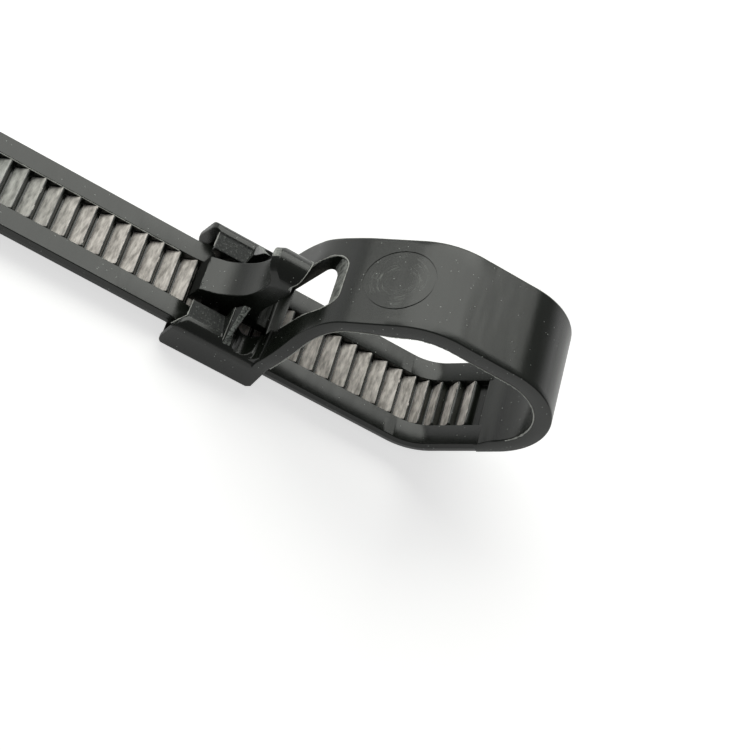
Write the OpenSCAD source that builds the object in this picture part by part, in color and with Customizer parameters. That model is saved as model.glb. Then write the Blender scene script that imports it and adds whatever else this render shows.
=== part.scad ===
// Releasable cable tie, closed round a bundle that is not part of the model.
// One nylon moulding. It lies with the plane of its loop upright, on the back of its head.
// X runs along the free tail, Y across the strap's width, Z up.

/* [Strap] */
// Width of the strap
strap_w = 7.6; // [6:0.1:9]
// Thickness of the toothed strap
strap_t = 0.95; // [0.9:0.05:1.3]
// Length of the strap from the head to its tip, along the outer face
strap_length = 150; // [120:5:200]
// Twist of the free tail about its own length
tail_twist = 5.5; // [0:0.5:6]

/* [Teeth] */
// Distance from one tooth to the next
tooth_pitch = 1.34; // [1.1:0.02:1.6]
// Height of a tooth
tooth_h = 0.62; // [0.4:0.02:0.7]
// Width of the row of teeth between the two rails
ladder_w = 4.0; // [3.4:0.1:4.4]
// Flat on the crest of a tooth
crest_flat = 0.12; // [0.06:0.02:0.24]
// Slope of the long face of a tooth
ramp_angle = 36; // [32:1:44]

/* [Loop] */
// Width of the closed loop, from the outer face of the neck to its far end
loop_w = 19.7; // [17:0.1:30]
// Height of the closed loop, over both faces
loop_h = 14.5; // [13:0.1:22]
// Outer radius of the bend round the far end
end_r = 5.5; // [4.5:0.1:6]
// Outer radius of the low bend at the back
back_r = 4.0; // [3:0.1:4.5]
// Steepness of the side between these two bends
side_angle = 50; // [40:1:70]
// Outer radius of the bend at the top of the shoulder
shoulder_r = 6.0; // [4:0.1:8]
// Steepness of the shoulder
shoulder_angle = 41; // [34:1:48]
// Distance from the outer face of the neck to the middle of the shoulder bend
shoulder_x = 9.7; // [9:0.1:11]
// Outer radius of the bend where the neck turns up from the head
neck_r = 7.0; // [5:0.1:8]

/* [Neck] */
// Thickness of the smooth front of the loop
neck_t = 1.3; // [1.1:0.05:1.5]
// Thickness of the two legs of the neck
leg_t = 1.0; // [0.9:0.05:1.2]
// Lean of the legs away from the head
leg_lean = 10; // [5:1:15]
// Width of the window between the two legs of the neck
window_w = 4.9; // [4:0.1:5.2]
// Distance along the head from the foot of the legs to the closed end of the window
window_len = 2.1; // [1.8:0.05:2.6]
// Length over which the flared legs come in to the width of the strap
flare_len = 7.0; // [5:0.1:9]
// Outer radius of the ring that an ejector pin has left on the neck
mark_r = 2.6; // [2:0.1:3]
// Distance of the ring's middle from the shoulder bend
mark_back = 1.0; // [0.8:0.1:1.5]

/* [Head] */
// Width of the head
head_w = 9.8; // [9.6:0.1:11]
// Length of the head along the strap that runs through it
head_l = 7.5; // [7.2:0.1:8.5]
// Thickness of the wall behind the slot
back_wall = 0.6; // [0.4:0.05:1]
// Height of the cheeks above the strap
cheek_h = 1.65; // [1.3:0.05:2.2]
// Width of the channel between the cheeks
channel_w = 4.8; // [4.4:0.1:5.2]
// Play between the strap and the slot
slot_play = 0.1; // [0.05:0.01:0.14]
// Height of the fins beside the lever, above the cheeks
fin_h = 2.1; // [1:0.1:2.6]

/* [Lever] */
// Width of the pawl and its lever
lever_w = 3.0; // [2.4:0.1:3.4]
// Height of the rounded top of the lever above the strap
lever_top = 7.7; // [6.8:0.1:8.4]
// Gap between the teeth of the pawl and those of the strap
bite_gap = 0.08; // [0.03:0.01:0.1]

/* [Hidden] */
$fn = 64;
eps = 0.01;

// Head. The origin of all values is the middle of the head, at the crests of the teeth
head_x0 = -3.4;
head_x1 = head_x0 + head_l;
head_z0 = -strap_t - slot_play - back_wall;
leg_x = head_x1 - leg_t;
corner_r = 0.8;
edge_r = 0.85;
slot_w = strap_w + 2 * slot_play;
slot_top = 0.2;
slot_z0 = -strap_t - slot_play;
mouth_len = 1.9;
mouth_drop = 0.35;
mouth_w = head_w - 0.5;
flare_in = 0.85;
fin_x = 0.5;
fin_t = 0.45;
fin_inset = 0.22;
fin_drop = 0.28;
ridge_x = 0.05;
ridge_t = 0.15;
ridge_h = fin_h * 0.62;
grain_w = strap_w + 0.14;
grain_depth = 0.07;
pocket_rise = 0.3;
pocket_reach = 1.4;

// Loop: centres of its four bends in the XZ plane, all radii on outer faces
top_z = loop_h - strap_t;
end_c = [leg_x + loop_w - end_r, top_z - end_r];
shoulder_c = [leg_x + shoulder_x, top_z - shoulder_r];
shoulder_n = [cos(90 + shoulder_angle), sin(90 + shoulder_angle)];
shoulder_d = [-cos(shoulder_angle), -sin(shoulder_angle)];
slant_top = shoulder_c + shoulder_r * shoulder_n;
leg_foot = [leg_x, cheek_h];
leg_d = [sin(leg_lean), cos(leg_lean)];
leg_n = [-cos(leg_lean), sin(leg_lean)];
slant_len = -(neck_r + (slant_top - neck_r * shoulder_n - leg_foot) * leg_n) / (shoulder_d * leg_n);
neck_c = slant_top + slant_len * shoulder_d - neck_r * shoulder_n;
back_z = back_r - strap_t;
side_n = [sin(side_angle), -cos(side_angle)];
side_top = end_c + end_r * side_n;
side_len = (side_top[1] - back_z - back_r * side_n[1]) / sin(side_angle);
back_c = side_top - side_len * [cos(side_angle), sin(side_angle)] - back_r * side_n;

// Lengths along the outer face, from the slot's exit round to the neck
back_arc = back_r * side_angle * PI / 180;
end_arc = end_r * (180 - side_angle) * PI / 180;
top_run = end_c[0] - shoulder_c[0];
shoulder_arc = shoulder_r * shoulder_angle * PI / 180;
neck_arc = neck_r * (90 - leg_lean - shoulder_angle) * PI / 180;
leg_run = (neck_c - leg_foot) * leg_d;
loop_len = back_c[0] - head_x0 + back_arc + side_len + end_arc + top_run + shoulder_arc
    + slant_len + neck_arc + leg_run;

// Whole tie: placed so that the origin is under the middle of its box
x_min = head_x0 - (strap_length - loop_len);
x_shift = -(x_min + leg_x + loop_w) / 2;
z_shift = -head_z0;

// Teeth
ramp_len = tooth_h / tan(ramp_angle);
lock_len = 0.28;
tooth_len = ramp_len + crest_flat + lock_len;
web_t = strap_t - tooth_h;
tooth_x = head_x0 + 0.83;
side_first = 0.3;
side_ramp = 1.5;
bend_first = 0.2;
bend_step = tooth_pitch / (back_r - strap_t) * 180 / PI;

// Free tail: twisted inside the slot's mouth, with a thinner tip
twist_len = 1.5;
twist_steps = 10;
twist_x = head_x0;
tip_len = 14;
tip_t = strap_t * 0.8;
tip_w = strap_w * 0.72;
tip_x = x_min + tip_len;
rib_d = 0.5;
rib_n = 7;
rib_step = tip_len * 0.11;
rib_w = tip_w * 0.85;

// Lever and pawl
pawl_x = -2.65;
sweep_c = [-2.4, cheek_h + 3.65];
sweep_r = 3.25;
web_z = [0.55, 1.2];
lip_r = 1.45;

// Ejector ring: width and depth of its groove
mark_w = 0.12;
mark_depth = 0.05;

// Draws a shape of the XZ plane as a prism across the strap, w wide and centred
module across(w) {
    rotate([90, 0, 0]) linear_extrude(height = w, center = true) children();
}

// Draws a shape of the YZ plane as a prism along X
module along(len) {
    rotate([90, 0, 90]) linear_extrude(height = len) children();
}

// A bend of the strap: outer radius r, thickness t, from angle a0 to a1 round the centre c
module bend(c, r, t, a0, a1, w) {
    translate([c[0], 0, c[1]]) rotate([90, 0, 0]) rotate([0, 0, a0])
        rotate_extrude(angle = a1 - a0, $fn = 96)
            translate([r - t, -w / 2]) square([t, w]);
}

// Section of the toothed strap: a thin web with a rail on each side, crests at z = 0
module strap_section() {
    polygon([[-strap_w / 2, -strap_t], [strap_w / 2, -strap_t], [strap_w / 2, 0],
        [ladder_w / 2, 0], [ladder_w / 2, -tooth_h], [-ladder_w / 2, -tooth_h],
        [-ladder_w / 2, 0], [-strap_w / 2, 0]]);
}

// One tooth in the XZ plane from x = 0. Its long face rises towards +X, its foot is sunk
module tooth_outline() {
    polygon([[0, -tooth_h - web_t / 2], [0, -tooth_h], [ramp_len, 0], [ramp_len + crest_flat, 0],
        [tooth_len, -tooth_h], [tooth_len, -tooth_h - web_t / 2]]);
}

// A row of n teeth from x0, drawn as one prism
module tooth_row(x0, n) {
    across(ladder_w) polygon(concat(
        [[x0, -tooth_h - web_t / 2]],
        [for (i = [0 : n - 1], p = [[0, -tooth_h], [ramp_len, 0], [ramp_len + crest_flat, 0],
            [tooth_len, -tooth_h]]) [x0 + i * tooth_pitch + p[0], p[1]]],
        [[x0 + (n - 1) * tooth_pitch + tooth_len, -tooth_h - web_t / 2]]));
}

// A straight toothed strap from x0 to x1, with its first tooth at first
module toothed_run(x0, x1, first) {
    translate([x0, 0, 0]) along(x1 - x0) strap_section();
    tooth_row(first, floor((x1 - first) / tooth_pitch));
}

module tail_tip() {
    // The tip is thinner, narrows and carries small grip ribs
    translate([0, 0, -strap_t]) linear_extrude(height = tip_t) polygon([
        [tip_x, strap_w / 2], [tip_x, -strap_w / 2], [x_min + tip_len * 0.2, -tip_w / 2],
        [x_min, -tip_w / 4], [x_min, tip_w / 4], [x_min + tip_len * 0.2, tip_w / 2]]);
    for (i = [1 : rib_n])
        translate([tip_x - rib_step * i, 0, tip_t - strap_t - eps])
            rotate([90, 0, 0]) cylinder(d = rib_d, h = rib_w, center = true, $fn = 16);
}

module free_tail() {
    n = floor((twist_x - tip_x - 1) / tooth_pitch);
    slice = twist_len / twist_steps;
    over = slice * 0.2;
    first = tooth_x - 2 * tooth_pitch - n * tooth_pitch;
    rotate([-tail_twist, 0, 0]) {
        toothed_run(tip_x - eps, twist_x + eps, first);
        tail_tip();
    }
    // Twisted part, in short turned slices, and the two teeth beside it
    for (i = [0.5 : twist_steps - 0.5])
        rotate([-tail_twist * (1 - i / twist_steps), 0, 0])
            translate([twist_x + (i - 0.5) * slice - over / 2, 0, 0])
                along(slice + over) strap_section();
    for (i = [0 : 1])
        rotate([-tail_twist * i, 0, 0]) translate([tooth_x - i * tooth_pitch, 0, 0])
            across(ladder_w) tooth_outline();
}

module loop_strap() {
    // Toothed back run, low bend and side
    toothed_run(twist_x + twist_len - eps, back_c[0] + eps, tooth_x + tooth_pitch);
    bend(back_c, back_r, web_t, -90, side_angle - 90, strap_w);
    for (side = [-1, 1]) translate([0, side * (strap_w + ladder_w) / 4, 0])
        bend(back_c, back_r, strap_t, -90, side_angle - 90, (strap_w - ladder_w) / 2);
    for (i = [0 : 1]) translate([back_c[0], 0, back_c[1]]) rotate([0, -(i + bend_first) * bend_step, 0])
        translate([0, 0, -back_r + strap_t]) across(ladder_w) tooth_outline();
    translate([side_top[0], 0, side_top[1]]) rotate([0, -side_angle, 0]) {
        translate([0, 0, strap_t])
            toothed_run(-side_len - eps, eps, -side_len + side_first);
        across(strap_w) polygon([[eps, 0], [eps, neck_t], [-side_ramp, strap_t], [-side_ramp, 0]]);
    }
    // Smooth front: far bend, top and shoulder
    bend(end_c, end_r, neck_t, side_angle - 90, 90, strap_w);
    translate([shoulder_c[0] - eps, -strap_w / 2, top_z - neck_t])
        cube([top_run + 2 * eps, strap_w, neck_t]);
    bend(shoulder_c, shoulder_r, neck_t, 90, 90 + shoulder_angle, strap_w);
}

// A thin round groove, cut to an even depth into the slant and the shoulder bend
module ring_groove() {
    cover = 1;
    intersection() {
        translate([slant_top[0], 0, slant_top[1]]) rotate([0, -shoulder_angle, 0])
            translate([-mark_back, 0, -neck_t / 2]) difference() {
                cylinder(r = mark_r, h = neck_t);
                translate([0, 0, -eps]) cylinder(r = mark_r - mark_w, h = neck_t + 2 * eps);
            }
        union() {
            bend(shoulder_c, shoulder_r + cover, cover + mark_depth, 90, 90 + shoulder_angle, strap_w);
            translate([slant_top[0], 0, slant_top[1]]) rotate([0, -shoulder_angle, 0])
                translate([-slant_len, -strap_w / 2, -mark_depth])
                    cube([slant_len + eps, strap_w, cover]);
        }
    }
}

// Plan of the flared neck, drawn along a line that leans with the neck.
// Its u axis starts at the top of the head
module neck_plan() {
    flare = (head_w - strap_w) / 2;
    first = 0.125;
    steps = [first : first : 1];
    foot = 1;
    below = -3;
    beyond = 40;
    polygon(concat(
        [[below, -head_w / 2], [foot, -head_w / 2]],
        [for (k = steps) [foot + flare_len * k, -strap_w / 2 - flare * (1 + cos(180 * k)) / 2]],
        [[beyond, -strap_w / 2], [beyond, strap_w / 2]],
        [for (k = steps) [foot + flare_len * (1 + first - k),
            strap_w / 2 + flare * (1 + cos(180 * (1 + first - k))) / 2]],
        [[foot, head_w / 2], [below, head_w / 2]]));
}

// Window between the legs: cut straight down, open towards the head, with two rounded corners
module neck_window() {
    r = window_w / 4;
    reach = leg_t + window_len;
    translate([leg_x - leg_t, 0, -1]) linear_extrude(height = loop_h + 1) {
        translate([0, -window_w / 2]) square([reach - r, window_w]);
        translate([0, -r]) square([reach, 2 * r]);
        for (side = [-1, 1]) translate([reach - r, side * r]) circle(r = r);
    }
}

module neck() {
    lean = 62;
    difference() {
        intersection() {
            union() {
                translate([leg_x, -head_w / 2, 0]) cube([leg_t, head_w, cheek_h]);
                translate([leg_x, 0, cheek_h]) rotate([0, leg_lean, 0])
                    translate([0, -head_w / 2, -eps]) cube([leg_t, head_w, leg_run + 2 * eps]);
                bend(neck_c, neck_r, leg_t, 90 + shoulder_angle, 180 - leg_lean, head_w);
                translate([slant_top[0], 0, slant_top[1]]) rotate([0, -shoulder_angle, 0])
                    across(head_w) polygon([[-slant_len - eps, 0], [eps, 0], [eps, -neck_t],
                        [-slant_len - eps, -leg_t]]);
            }
            translate([leg_x, 0, cheek_h]) rotate([0, -lean, 0])
                linear_extrude(height = 40, center = true) neck_plan();
        }
        neck_window();
    }
}

// Side view of the head, with rounded corners
module head_side() {
    polygon([
        for (a = [270 : 15 : 360]) [head_x1 - corner_r + corner_r * cos(a),
            head_z0 + corner_r + corner_r * sin(a)],
        [head_x1, cheek_h],
        for (a = [90 : 15 : 180]) [head_x0 + 0.2 + corner_r + corner_r * cos(a),
            cheek_h - corner_r + corner_r * sin(a)],
        for (a = [180 : 15 : 270]) [head_x0 + corner_r + corner_r * cos(a),
            head_z0 + corner_r + corner_r * sin(a)]]);
}

// End view of the head, with its two upper edges rounded
module head_end() {
    polygon([
        [-head_w / 2, head_z0], [head_w / 2, head_z0],
        for (a = [0 : 15 : 90]) [head_w / 2 - edge_r + edge_r * cos(a),
            cheek_h - edge_r + edge_r * sin(a)],
        for (a = [90 : 15 : 180]) [-head_w / 2 + edge_r + edge_r * cos(a),
            cheek_h - edge_r + edge_r * sin(a)]]);
}

module head() {
    pocket_r = (leg_x - fin_x - fin_t) / 2;
    fin_y = head_w / 2 - fin_inset;
    difference() {
        union() {
            difference() {
                intersection() {
                    across(head_w) head_side();
                    translate([head_x0, 0, 0]) along(head_l) head_end();
                }
                // Shallow grainy faces on top of the cheeks
                translate([head_x0, -grain_w / 2, cheek_h - grain_depth])
                    cube([ridge_x - head_x0, grain_w, 1]);
            }
            // A fin and a lower, thin ridge on each cheek slope up towards the lever
            for (side = [-1, 1], f = [[fin_x, fin_t, fin_h], [ridge_x, ridge_t, ridge_h]])
                translate([f[0], 0, 0]) along(f[1]) polygon([
                    [side * fin_y, cheek_h - edge_r], [side * fin_y, cheek_h - fin_drop],
                    [side * channel_w / 2, cheek_h + f[2]], [side * channel_w / 2, cheek_h - edge_r]]);
        }
        // Slot for the strap. Its mouth at the tail end is deeper, wider and open at the top
        translate([head_x0 - 1, -slot_w / 2, slot_z0]) cube([head_l + 2, slot_w, slot_top - slot_z0]);
        across(slot_w) polygon([
            [head_x0 - eps, slot_z0 - mouth_drop], [head_x0 - eps, cheek_h],
            [head_x0 + mouth_len, slot_top - eps], [head_x0 + mouth_len, slot_z0 + eps]]);
        translate([0, 0, slot_z0]) linear_extrude(height = head_l) polygon([
            [head_x0 - eps, -mouth_w / 2], [head_x0 + flare_in, -slot_w / 2],
            [head_x0 + flare_in, slot_w / 2], [head_x0 - eps, mouth_w / 2]]);
        // Channel between the cheeks
        translate([head_x0 - 1, -channel_w / 2, 0])
            cube([leg_x - head_x0 + 1, channel_w, cheek_h + fin_h]);
        // Pockets between the fins and the legs
        for (side = [-1, 1])
            translate([leg_x - pocket_r, side * (head_w / 2 - pocket_reach), cheek_h + pocket_rise]) {
                sphere(r = pocket_r);
                rotate([side * 90, 0, 0]) cylinder(r = pocket_r, h = pocket_reach);
            }
    }
}

// Side view of the pawl and its lever
module lever_side() {
    lip_c = [sweep_c[0] + sweep_r - lip_r, lever_top - 1.6];
    polygon(concat(
        [[pawl_x, bite_gap], [pawl_x, cheek_h - 0.1], [pawl_x + 0.15, cheek_h + 0.1]],
        [for (a = [-72 : 8 : 0]) sweep_c + sweep_r * [cos(a), sin(a)]],
        [for (a = [0 : 10 : 50]) lip_c + lip_r * [cos(a), sin(a)]],
        [[0.3, lever_top + 0.1], [3.0, lever_top + 0.1], [2.9, lever_top - 0.5],
            [2.6, lever_top - 1.1], [2.5, lever_top - 2.1], [2.39, lever_top - 2.8],
            [2.2, lever_top - 3.6], [2.05, 3.4], [1.95, 2.2], [2.1, 1.5],
            [leg_x + eps, web_z[1]], [leg_x + eps, web_z[0]], [1.6, web_z[0] - 0.1], [0.9, 0.25]]));
}

// The pawl's own teeth reach down between those of the strap
module pawl_teeth() {
    for (i = [0 : 1])
        across(lever_w) translate([tooth_x + i * tooth_pitch + bite_gap, 0])
            polygon([[ramp_len + crest_flat, 0.3], [ramp_len + crest_flat, 0],
                [tooth_len - 0.08, -tooth_h * 0.7], [tooth_len + 0.62, 0.3]]);
}

module lever() {
    intersection() {
        across(lever_w) lever_side();
        union() {
            translate([-5, -lever_w / 2, -1]) cube([10, lever_w, lever_top - lever_w / 2 + 1]);
            translate([0, 0, lever_top - lever_w / 2]) rotate([0, 90, 0])
                cylinder(d = lever_w, h = 12, center = true);
        }
    }
    pawl_teeth();
}

module cable_tie() {
    color("#262a28") translate([x_shift, 0, z_shift]) {
        difference() {
            union() {
                loop_strap();
                neck();
            }
            ring_groove();
        }
        free_tail();
        head();
        lever();
    }
}

cable_tie();
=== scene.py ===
# %% [markdown]
# # A releasable cable tie in Blender
# The real tie is one moulding of black nylon. It comes out of its mould flat, and becomes
# a loop only in use. This lesson does the same: the strap is modelled flat, as moulded,
# and then bent round a path in code. Straight things are easy to model and easy to check,
# and one bending function keeps the band, its rails and its teeth together.
#
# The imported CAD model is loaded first. It fixes the size and the place of everything.

import math

import bmesh
import bpy
import numpy as np
from mathutils import Matrix, Vector


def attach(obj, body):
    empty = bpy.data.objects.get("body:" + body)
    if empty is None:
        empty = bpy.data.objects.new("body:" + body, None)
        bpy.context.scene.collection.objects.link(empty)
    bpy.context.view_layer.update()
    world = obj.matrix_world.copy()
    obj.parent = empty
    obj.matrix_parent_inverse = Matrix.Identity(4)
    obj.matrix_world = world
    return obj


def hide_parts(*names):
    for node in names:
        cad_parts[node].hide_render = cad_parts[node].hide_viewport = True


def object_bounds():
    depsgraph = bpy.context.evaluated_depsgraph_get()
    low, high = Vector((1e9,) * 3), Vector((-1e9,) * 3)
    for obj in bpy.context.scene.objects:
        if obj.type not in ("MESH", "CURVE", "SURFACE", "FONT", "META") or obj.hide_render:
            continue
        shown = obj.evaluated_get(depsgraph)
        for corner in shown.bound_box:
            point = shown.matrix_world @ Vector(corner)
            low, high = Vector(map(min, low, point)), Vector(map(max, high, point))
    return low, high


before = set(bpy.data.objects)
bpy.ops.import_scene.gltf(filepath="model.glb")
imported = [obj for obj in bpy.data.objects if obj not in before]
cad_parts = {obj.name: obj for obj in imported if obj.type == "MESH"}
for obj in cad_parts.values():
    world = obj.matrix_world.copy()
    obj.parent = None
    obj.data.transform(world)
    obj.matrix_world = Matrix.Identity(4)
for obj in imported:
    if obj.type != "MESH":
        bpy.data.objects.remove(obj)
cad_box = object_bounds()
print("nodes:", sorted(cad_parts), "box:", cad_box)

# %% [markdown]
# ## Sizes
# All sizes are in millimetres, as on a drawing, and turned to metres at the very end.
# X runs along the tail, Y across the strap and Z up. Zero is the middle of the head at the
# height of the tooth crests, because everything in the head is measured from the strap.

# %% Sizes of the strap, the loop and the head
MM = 0.001
STRAP_W = 7.6                   # the usual width of such a tie, and the scale of the rest
STRAP_T = 0.95                  # toothed strap
FRONT_T = 1.3                   # smooth front band
LADDER_W = 4.02                 # between the rails
TOOTH_H = 0.62
TOOTH_PITCH = 1.342
TOOTH_X = -2.57                 # foot of the first tooth inside the head
HEAD_W = 9.8
HEAD_X0, HEAD_X1 = -3.4, 4.1    # tail side and loop side
SLOT_GAP = 0.1
CHEEK_H = 1.65
CHANNEL_W = 4.8                 # between the cheeks
LEG_X, LEG_T = 3.1, 1.0         # outer face and thickness of the two legs
TOP_Z = 13.55                   # outer face of the top of the loop
LOOP_X1 = 22.8                  # far end of the loop
LENGTH = 150                    # of the strap, from the head to the tip
BACK_Z = -1.65                  # underside of the head

scene_x = cad_box[1][0] / MM - LOOP_X1
scene_z = -BACK_Z
print("head middle sits at x = %.2f mm, z = %.2f mm" % (scene_x, scene_z))

# %% The finishes, by name
# They get their nodes further down. Until then the pieces can already take them.
nylon, worn_and_lit_ramps, eroded_nylon, painted_light_fin_nylon, shade_dark_nylon, white_flash_and_highlight, torn_and_highlight_nylon = (
    bpy.data.materials.new(name) for name in (
        "moulded_black_nylon", "worn_nylon_ramps", "spark_eroded_nylon", "rubbed_grey_nylon",
        "cut_dull_nylon", "stressed_white_nylon_flash", "torn_grey_nylon_edge"))

# %% [markdown]
# ## The loop's path
# The outer face of the strap follows straight runs and round bends, each bend tangent to its
# neighbours. The path starts at the foot of the neck, goes up, over the shoulder, round the far
# bend, back under the loop and out through the slot to the tip of the tail. Each piece is kept
# as a line or an arc, so a point and a direction at any distance along it are exact.

# %% Lines and arcs of the path
NECK_R, SHOULDER_R, END_R, LOW_R = 7.0, 6.0, 5.5, 4.0
SHOULDER_A, SIDE_A, LEG_LEAN = 41.0, 50.0, 10.0
end_c = np.array([LOOP_X1 - END_R, TOP_Z - END_R])
shoulder_c = np.array([12.8, TOP_Z - SHOULDER_R])


def polar(angle):
    return np.array([math.cos(math.radians(angle)), math.sin(math.radians(angle))])


slant_n = polar(90 + SHOULDER_A)
slant_top = shoulder_c + SHOULDER_R * slant_n
leg_foot = np.array([LEG_X, CHEEK_H])
leg_n = polar(180 - LEG_LEAN)
slant_len = (NECK_R + (slant_top - NECK_R * slant_n - leg_foot) @ leg_n) / (polar(SHOULDER_A) @ leg_n)
neck_c = slant_top - slant_len * polar(SHOULDER_A) - NECK_R * slant_n
low_z = LOW_R - STRAP_T
side_n = polar(SIDE_A - 90)
side_top = end_c + END_R * side_n
side_len = (side_top[1] - low_z - LOW_R * side_n[1]) / math.sin(math.radians(SIDE_A))
low_c = side_top - side_len * polar(SIDE_A) - LOW_R * side_n

path = []


def add_line(start, angle, length):
    path.append(("line", np.array(start), angle, length))


def add_arc(centre, radius, a0, a1):
    path.append(("arc", np.array(centre), radius, a0, a1, radius * math.radians(a0 - a1)))


leg_run = (neck_c - leg_foot) @ polar(90 - LEG_LEAN)
add_line((LEG_X, 0), 90, CHEEK_H)
add_line(leg_foot, 90 - LEG_LEAN, leg_run)
add_arc(neck_c, NECK_R, 180 - LEG_LEAN, 90 + SHOULDER_A)
add_line(neck_c + NECK_R * slant_n, SHOULDER_A, slant_len)
add_arc(shoulder_c, SHOULDER_R, 90 + SHOULDER_A, 90)
add_line(shoulder_c + [0, SHOULDER_R], 0, end_c[0] - shoulder_c[0])
add_arc(end_c, END_R, 90, SIDE_A - 90)
add_line(side_top, SIDE_A - 180, side_len)
add_arc(low_c, LOW_R, SIDE_A - 90, -90)
starts = np.cumsum([0] + [p[-1] for p in path])
joint_s = starts[7]
flat_x = starts[-1] + low_c[0]
tail_x = flat_x - CHEEK_H - LENGTH
print("path to the slot: %.1f mm, tail tip at x = %.1f mm" % (flat_x, tail_x))

# %% [markdown]
# ## Bending the flat strap
# A flat point has x along the strap, y across it and z through it, with the tooth crests at
# z = 0 and the outer face at z = -STRAP_T. Left of the low bend the strap is straight already,
# so points there stay where they are. Points to the right are wound up along the path.
# The free tail of the real tie is also turned a few degrees about its own length, and swings
# a touch to one side. Both start in the slot, where the strap has a little play.

# %% The bending functions
TWIST = 5.54                    # degrees
TWIST_X, TWIST_RUN = -1.9, 1.5  # where the twist starts, and how far it takes
SWAY, SWAY_FADE = 0.0097, 24    # slope to the side at the head, and the distance over which it fades


def ease(t):
    """0 to 1 with a soft start and end."""
    t = np.clip(t, 0, 1)
    return t * t * (3 - 2 * t)


def wind(co):
    """Winds flat points up along the path. Points left of the low bend stay where they are."""
    out = co.copy()
    dist = flat_x - co[:, 0]
    depth = co[:, 2] + STRAP_T
    for i, part in enumerate(path):
        begun = dist >= starts[i] if i > 0 else np.isfinite(dist)
        not_over = dist < starts[i + 1] if i < len(path) - 1 else dist <= starts[-1]
        here = begun & not_over
        s = dist[here] - starts[i]
        if part[0] == "line":
            _, start, angle, _ = part
            p = start + np.outer(s, polar(angle)) - np.outer(depth[here], polar(angle + 90))
        else:
            _, centre, radius, from_angle, _, _ = part
            a = np.radians(from_angle) - s / radius
            out_way = np.stack([np.cos(a), np.sin(a)], 1)
            p = centre + out_way * (radius - depth[here])[:, None]
        out[here, 0], out[here, 2] = p[:, 0], p[:, 1]
    return out


def turn_tail(co):
    """Turns the free tail about its own length and lets it swing to one side."""
    out = co.copy()
    tail = (co[:, 0] < TWIST_X) & (co[:, 2] < 2)
    a = -np.radians(TWIST) * np.clip((TWIST_X - co[:, 0]) / TWIST_RUN, 0, 1) * tail
    out[:, 1] = co[:, 1] * np.cos(a) - co[:, 2] * np.sin(a)
    out[:, 2] = co[:, 1] * np.sin(a) + co[:, 2] * np.cos(a)
    away = np.clip(TWIST_X - co[:, 0], 0, None)
    out[:, 1] += SWAY * SWAY_FADE * (1 - np.exp(-away / SWAY_FADE)) * tail
    return out


def move_points(obj, change):
    """Moves all the points of an object by a function of their coordinates."""
    mesh = obj.data
    co = np.empty(len(mesh.vertices) * 3)
    mesh.vertices.foreach_get("co", co)
    mesh.vertices.foreach_set("co", change(co.reshape(-1, 3)).ravel())
    mesh.update()


def bend_object(obj):
    """Takes a flat piece to the shape it has in use."""
    move_points(obj, lambda co: turn_tail(wind(co)))


# %% [markdown]
# ## The smooth front band with its window
# The front of the loop is a plain band that splits into two flared legs round a window.
# A flat curve is the easy way to draw an outline with a hole: Blender fills it, gives it
# thickness and rounds its edges in one step. A moulded edge is never sharp, and this small
# round is what draws the bright lines along the edges of black plastic.
# The filled faces are then cut across every fraction of a millimetre, so that they can bend.

# %% Outline helpers
EDGE = 0.11     # round of a moulded edge


def new_object(name, mesh):
    obj = bpy.data.objects.new(name, mesh)
    bpy.context.scene.collection.objects.link(obj)
    return obj


def evaluated(obj, name):
    """A plain mesh object of what the modifiers or the curve make. The original goes."""
    bpy.context.view_layer.update()
    depsgraph = bpy.context.evaluated_depsgraph_get()
    mesh = bpy.data.meshes.new_from_object(obj.evaluated_get(depsgraph), depsgraph=depsgraph)
    mesh.name = name
    bpy.data.objects.remove(obj)
    return new_object(name, mesh)


def plate(name, outlines, thickness, z0, edge=EDGE):
    """A flat plate with rounded edges. Outlines after the first are holes."""
    curve = bpy.data.curves.new(name, "CURVE")
    curve.dimensions = "2D"
    curve.fill_mode = "BOTH"
    curve.extrude = thickness / 2 - edge
    curve.bevel_depth = edge
    curve.bevel_resolution = 2
    curve.offset = -edge
    for outline in outlines:
        spline = curve.splines.new("POLY")
        spline.points.add(len(outline) - 1)
        spline.use_cyclic_u = True
        for point, (x, y) in zip(spline.points, outline):
            point.co = (x, y, 0, 1)
    obj = evaluated(new_object(name, curve), name)
    bm = bmesh.new()
    bm.from_mesh(obj.data)
    bmesh.ops.translate(bm, verts=bm.verts, vec=(0, 0, z0 + thickness / 2))
    bmesh.ops.remove_doubles(bm, verts=bm.verts, dist=1e-4)
    bm.to_mesh(obj.data)
    bm.free()
    return obj


def slice_across(obj, stations):
    """Cuts every face at the stations along X, so that it can bend there."""
    bm = bmesh.new()
    bm.from_mesh(obj.data)
    for x in stations:
        bmesh.ops.bisect_plane(bm, geom=bm.verts[:] + bm.edges[:] + bm.faces[:],
                               dist=1e-5, plane_co=(x, 0, 0), plane_no=(1, 0, 0))
    bm.to_mesh(obj.data)
    bm.free()
    return obj


# %% The front band
WINDOW_W, WINDOW_S = 4.9, 9.05                  # width, and distance of its far end along the path
CORNER_X, CORNER_Y = 1.9, 1.25                  # radii of its round corners
PLAN_LEAN, FLARE_U0, FLARE_LEN = 62, 1.0, 7.0   # the legs' flare: its direction, start and length
JOINT_LEN = 1.6                                 # where the band thins to meet the toothed strap


def half_width(x):
    """Half the width of the band: even along the loop, wider down the legs."""
    if x > foot_x:
        return HEAD_W / 2 - 0.1
    at = wind(np.array([[x, 0, -STRAP_T]]))[0]
    u = (at[[0, 2]] - leg_foot) @ polar(PLAN_LEAN)
    k = float(np.clip((u - FLARE_U0) / FLARE_LEN, 0, 1))
    return STRAP_W / 2 + (HEAD_W - STRAP_W) / 2 * (1 + math.cos(math.pi * k)) / 2


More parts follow.
